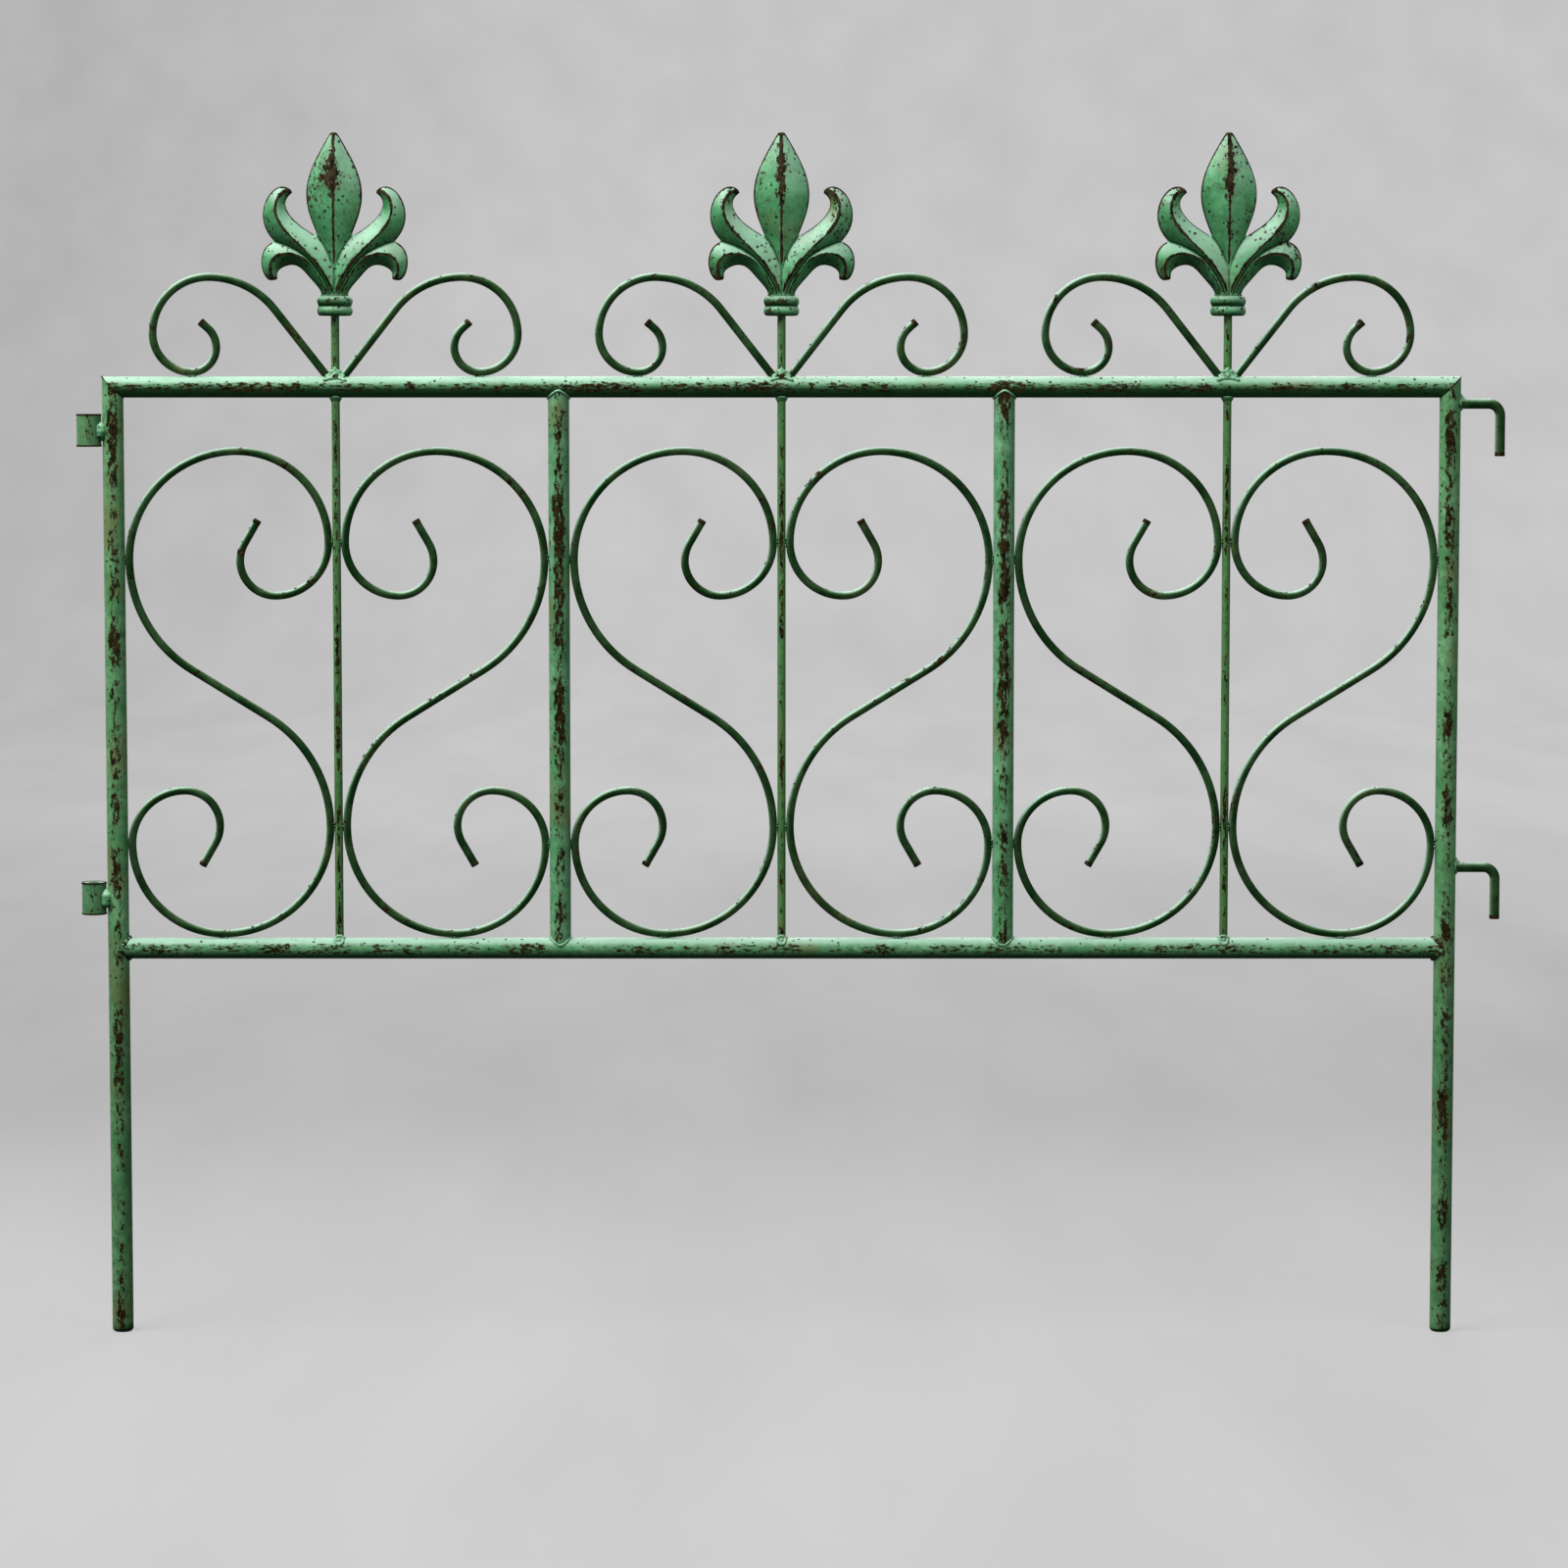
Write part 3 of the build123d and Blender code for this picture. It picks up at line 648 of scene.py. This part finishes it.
bm = bmesh.new()
for x, side in zip(POSTS, (1, -1)):
    drops(bm, [Vector((x + side * p.z, p.y, BOTTOM_RAIL + p.x)) for p in seam], radius=1.2, rough=0.45)
weld("bottom_rail_welds", bm, rough_weld, rounds=2)

bm = bmesh.new()
for x, side in zip(POSTS, (-1, 1)):
    oval = [(TUBE * math.cos(angle), TUBE * math.sin(angle)) for angle in turn(48)]
    drops(bm, [(x + side * rise, depth, TOP_RAIL + rise) for rise, depth in oval], radius=0.6, rough=0.2)
drops(bm, LEFT_BLOBS, radius=1.5, rough=0.3)
weld("mitre_welds", bm, mitre_weld)

# %% [markdown]
# A thin rod is welded from one side at a time. Under the top rail the bead flares from the
# rail onto the rod. On the bottom rail a small button of metal sits at the front and back
# of the rod's foot. On top of the rail the stem and two crest wires meet, and one lump
# joins all three, with a bald, rusty front where the brush missed it.

# %% Welds on the rods and stems
BUTTON = BOTTOM_RAIL + 5.2
CROWN = TOP_RAIL + TUBE
# Each row of the flare: its spread, how far it sinks below the rail, and its drops' size
FLARE_ROWS = ((0.95, 0.2, 1.1), (0.84, 1.4, 0.8), (0.78, 2.5, 0.5))
BUTTON_RADIUS = 2.5
# Each row of the lump: how many drops each way, its lift and how much its ends sag
LUMP_ROWS = ((5, -1.2, 0.04), (4, 1.0, 0.05), (2, 2.8, 0.0), (0, 4.4, 0.0))
LUMP_STEP = 1.2
LEAST_OUT = 2.6
BALD_FRONT = {"half_width": 3.0, "half_height": 2.0, "amount": 0.80}

bm = bmesh.new()
for x in RODS:
    flare = saddle(ROD + 0.5, TUBE, 14)
    for spread, sink, size in FLARE_ROWS:
        ring = [Vector((x + p.x * spread, p.y * spread, TOP_RAIL - p.z - sink)) for p in flare]
        drops(bm, ring, size, rough=0.06)
    drops(bm, [Vector((x + p.x, p.y, BOTTOM_RAIL + p.z)) for p in flare], radius=1.0, rough=0.2)
    for side in (-1, 1):
        rim = [(BUTTON_RADIUS * math.cos(angle), BUTTON_RADIUS * math.sin(angle)) for angle in turn(14)]
        spots = [(x + across, BUTTON + up) for across, up in (*rim, (0, 0))]
        button = [on_rail(across, BOTTOM_RAIL, height, LEAST_OUT) for across, height in spots]
        drops(bm, [Vector((p.x, -side * p.y, p.z)) for p in button], radius=1.05, rough=0.1)
weld("rod_welds", bm, weld_enamel)

bm = bmesh.new()
for x in RODS:
    for side in (-1, 1):
        for half, lift, sag in LUMP_ROWS:
            steps = range(-half, half + 1)
            row = [(x + LUMP_STEP * step, CROWN + lift - sag * step**2) for step in steps]
            row = [on_rail(across, TOP_RAIL, height, LEAST_OUT) for across, height in row]
            drops(bm, [Vector((p.x, -side * p.y, p.z)) for p in row], radius=1.35, rough=0.1)
        knob = on_rail(x, TOP_RAIL, CROWN + 0.4, 3.2)
        drops(bm, [Vector((knob.x, -side * knob.y, knob.z))], radius=2.0, rough=0.1)
stem_welds = weld("stem_welds", bm, stem_weld, rounds=4, gain=0.0)
for x in RODS:
    mark_patch(stem_welds, "ridge", x, CROWN + 0.2, **BALD_FRONT)

# %% [markdown]
# The hooks and sockets that join one panel to the next carry its weight, so they have the
# fattest beads: a collar around each hook with a dab on top, and two thick dabs, at the
# front and the back, that bridge the gap between a socket and its post.

# %% Welds on the hooks and sockets
HOOK_DAB = ((8.4, 2.8), (7.2, 3.2), (6.7, 4.4), (6.4, 5.2))
# A socket's dab and the two tails of it: their place beside the post, and their drops'
# heights from the socket's middle
DAB_X, DAB_Y, DAB_LIFTS = -6.6, 4.1, (-2.4, -0.6, 1.4)
TAIL_X, TAIL_Y, TAIL_LIFTS = -6.8, 2.5, (-4.2, 3.6)

bm = bmesh.new()
for z in HOOK_HEIGHTS:
    collar = saddle(HOOK + 0.3, TUBE, 18)
    drops(bm, [Vector((POSTS[1] + p.z + 0.2, p.y, z + p.x)) for p in collar], radius=1.0, rough=0.25)
    drops(bm, [(POSTS[1] + out, 0, z + lift) for out, lift in HOOK_DAB], radius=1.1, rough=0.1)
weld("hook_welds", bm, weld_enamel)

bm = bmesh.new()
for z in SOCKET_HEIGHTS:
    for side in (-1, 1):
        drops(bm, [(DAB_X, side * DAB_Y, z + lift) for lift in DAB_LIFTS], radius=2.9, rough=0.12)
        drops(bm, [(TAIL_X, side * TAIL_Y, z + lift) for lift in TAIL_LIFTS], radius=2.0, rough=0.2)
weld("socket_welds", bm, weld_enamel)

# %% [markdown]
# Where a scroll touches the rod, an upright or a rail, it is only tacked: a few drops at
# the front and back of the touching point. They take the wire's finish, with its darker greens and
# painted shade.

# %% Tacks where the scrolls touch
ROD_TOUCH = 2.55
ROD_TACKS = (478.8, 307.7)
UPRIGHT_TOUCH = 126.95
UPRIGHT_TACKS = (468.5, 297.4)
RAIL_TACKS = ((69.9, 240.4), (86.1, 578.0))
TACK_STEPS = (-2.0, 0.0, 2.0)
ROD_TACK_DEPTH = 1.1
TACK_DEPTH = 1.3

bm = bmesh.new()
for x in RODS:
    for hand in (-1, 1):
        for side in (-1, 1):
            for step in TACK_STEPS:
                beside, out = x + hand * ROD_TOUCH, side * ROD_TACK_DEPTH
                drops(bm, [(beside, out, z + step) for z in ROD_TACKS], radius=0.85, rough=0.2)
                beside, out = x + hand * UPRIGHT_TOUCH, side * TACK_DEPTH
                spots = [(beside, out, z + step) for z in UPRIGHT_TACKS]
                spots += [(x + hand * (along + step), out, z) for along, z in RAIL_TACKS]
                drops(bm, spots, radius=0.95, rough=0.2)
weld("scroll_tacks", bm, bent_wire)

# %% [markdown]
# The wires were cut with shears before they were bent, and paint never held on the cut
# ends for long, so each is dark, bare steel with a slight burr. Short rounded collars,
# made with a cone whose two ends are alike and a bevel, stand for that bare end.

# %% Bare cut ends
WIRE_END = 2.47
HOOK_END = 3.05
END_LENGTH = 2.8
END_ROUNDING = 0.35
BURR = 0.1
HOOK_LEG = 830.0
HOOK_DROP = 31.2
SCROLL_TIPS = (((47.19, 492.12), (-0.5, 0.866)), ((82.30, 284.09), (0.5, -0.866)))
CREST_TIP = ((80.52, 610.61), (0.743, 0.669))


def edges_at(corners):
    """The edges that meet these corners, each once and in the same order on every run."""
    return list(dict.fromkeys(edge for corner in corners for edge in corner.link_edges))


bare_steel = aged_enamel("bare_cut_steel", (1.5, 1.5, 1.5), "unworn", 0.42)
ends = [((x + hand * u, z), (hand * du, dz), WIRE_END) for x in RODS for hand in (-1, 1)
        for (u, z), (du, dz) in (*SCROLL_TIPS, CREST_TIP)]
ends += [((HOOK_LEG, z - HOOK_DROP), (0.0, -1.0), HOOK_END) for z in HOOK_HEIGHTS]
bm = bmesh.new()
for (x, z), (dx, dz), radius in ends:
    along = Vector((dx, 0, dz)).normalized()
    middle = Vector((x, 0, z)) - along * (END_LENGTH / 2 - BURR)
    spot = Matrix.Translation(middle * MM) @ along.to_track_quat("Z", "Y").to_matrix().to_4x4()
    ends_alike = {"radius1": radius * MM, "radius2": radius * MM, "depth": END_LENGTH * MM}
    cap = bmesh.ops.create_cone(bm, cap_ends=True, segments=28, matrix=spot, **ends_alike)["verts"]
    rims = [edge for edge in edges_at(cap) if max(len(face.verts) for face in edge.link_faces) > 4]
    rounding = {"offset": END_ROUNDING * MM, "offset_type": "OFFSET", "affect": "EDGES", "profile": 0.5}
    bmesh.ops.bevel(bm, geom=rims, segments=2, clamp_overlap=True, material=-1, **rounding)
cut_ends = piece_from("bare_cut_ends", bm, bare_steel)
print("Bare ends:", len(ends), "in", len(cut_ends.data.polygons), "faces")

# %% [markdown]
# Each socket is a short cut of tube, and its two sawn edges have rusted dark in the same
# way. A thin ring on each edge shows it: a small circle, spun once around the socket.

# %% Bare socket edges
SOCKET_AXIS = -14.45
EDGE_WIRE = 0.6 * MM

bm = bmesh.new()
for name in ("upper_socket", "lower_socket"):
    corners = [corner.co for corner in nodes[name].data.vertices]
    mouth = max(p.y for p in corners) - EDGE_WIRE * 0.4
    top, bottom = max(p.z for p in corners), min(p.z for p in corners)
    for height in (top - EDGE_WIRE * 0.5, bottom + EDGE_WIRE * 0.5):
        axis = Vector((SOCKET_AXIS * MM, 0, height))
        upright = Matrix.Rotation(math.radians(90), 4, "X")
        spot = Matrix.Translation(axis + Vector((mouth, 0, 0))) @ upright
        ring = bmesh.ops.create_circle(bm, segments=8, radius=EDGE_WIRE, matrix=spot)["verts"]
        once = {"cent": axis, "axis": (0, 0, 1), "angle": math.radians(360), "steps": 40}
        geometry = ring + edges_at(ring)
        bmesh.ops.spin(bm, geom=geometry, use_merge=True, use_duplicate=False, **once)
bmesh.ops.recalc_face_normals(bm, faces=bm.faces[:])
socket_edges = piece_from("bare_socket_edges", bm, bare_steel)
print("Socket edges:", len(socket_edges.data.polygons), "faces")
